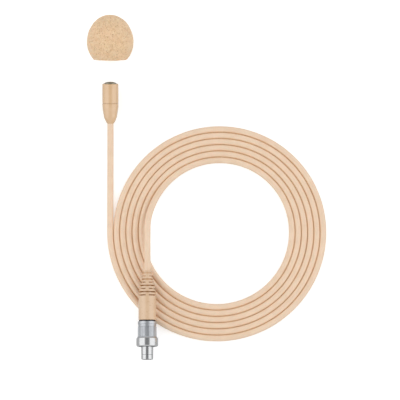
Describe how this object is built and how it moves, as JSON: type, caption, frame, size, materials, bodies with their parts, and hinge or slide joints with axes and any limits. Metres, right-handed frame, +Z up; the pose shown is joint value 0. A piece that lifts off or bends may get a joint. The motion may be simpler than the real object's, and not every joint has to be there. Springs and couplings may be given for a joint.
{
  "type": "miniature clip-on microphone",
  "caption": "Beige miniature lavalier microphone with a detached foam windscreen, a thin lead wound in a neat flat coil, and a locking plug with a knurled coupling nut.",
  "frame": {"origin": "on the table, under the middle of the box round the microphone head and its windscreen", "axes": "+Y from the plug towards the windscreen, along the head and its straight lead; +X towards the coil; +Z up"},
  "size_m": [0.0712, 0.1023, 0.014],
  "materials": {
    "foam": "open-cell foam, fine pores, matt",
    "housing_beige": "satin beige paint",
    "grille_dark": "dark grey-brown perforated metal, satin",
    "film": "thin film",
    "soft_rubber": "soft black rubber",
    "can_aluminium": "drawn aluminium",
    "brass_gold": "machined brass",
    "insulator": "moulded black plastic",
    "board_green": "solder mask",
    "wire_colour": "fine insulated wire",
    "cable_beige": "smooth soft cable jacket, satin",
    "boot_beige": "moulded rubber, satin",
    "dark_metal": "blackened metal",
    "nickel": "nickel plated, turned",
    "nickel_knurled": "nickel plated, knurled",
    "polished": "polished nickel",
    "contact_gold": "gold plated"
  },
  "bodies": {
    "microphone": {"front_sleeve": "housing_beige", "rear_housing": "housing_beige", "inlet_grille": "grille_dark", "inlet_membrane": "film", "inlet_gasket": "soft_rubber", "capsule_can": "can_aluminium", "diaphragm_ring": "brass_gold", "diaphragm": "film", "spacer_ring": "insulator", "backplate": "brass_gold", "backplate_holder": "insulator", "preamp_board": "board_green", "preamp_transistor": "insulator", "capsule_cushion": "soft_rubber", "head_cable_end": "cable_beige", "head_ferrule": "brass_gold", "tail_seal": "soft_rubber", "head_wires": "wire_colour", "cable_lead": "cable_beige", "cable_coil": "cable_beige", "cable_tail": "cable_beige", "bend_relief": "boot_beige", "back_nut": "dark_metal", "cable_collet": "brass_gold", "plug_cable_end": "cable_beige", "plug_ferrule": "brass_gold", "connector_body": "nickel", "nose_shell": "polished", "nose_ring": "polished", "contact_insert": "insulator", "contact_sockets": "contact_gold", "solder_wires": "wire_colour", "wire_shield": "insulator", "nut_retaining_ring": "dark_metal", "nut_friction_ring": "soft_rubber"},
    "windscreen": {"windscreen": "foam"},
    "coupling_nut": {"coupling_grip": "nickel_knurled", "coupling_collar": "polished"}
  },
  "joints": [
    {"name": "windscreen_slide", "type": "slide", "parent": "microphone", "child": "windscreen", "axis": [0, -0.9763, -0.2164], "range_m": [0, 0.01405]},
    {"name": "coupling_nut_spin", "type": "hinge", "parent": "microphone", "child": "coupling_nut", "pos_m": [0.0111, -0.08006, 0.00455], "axis": [0, -1, 0], "continuous": true}
  ]
}
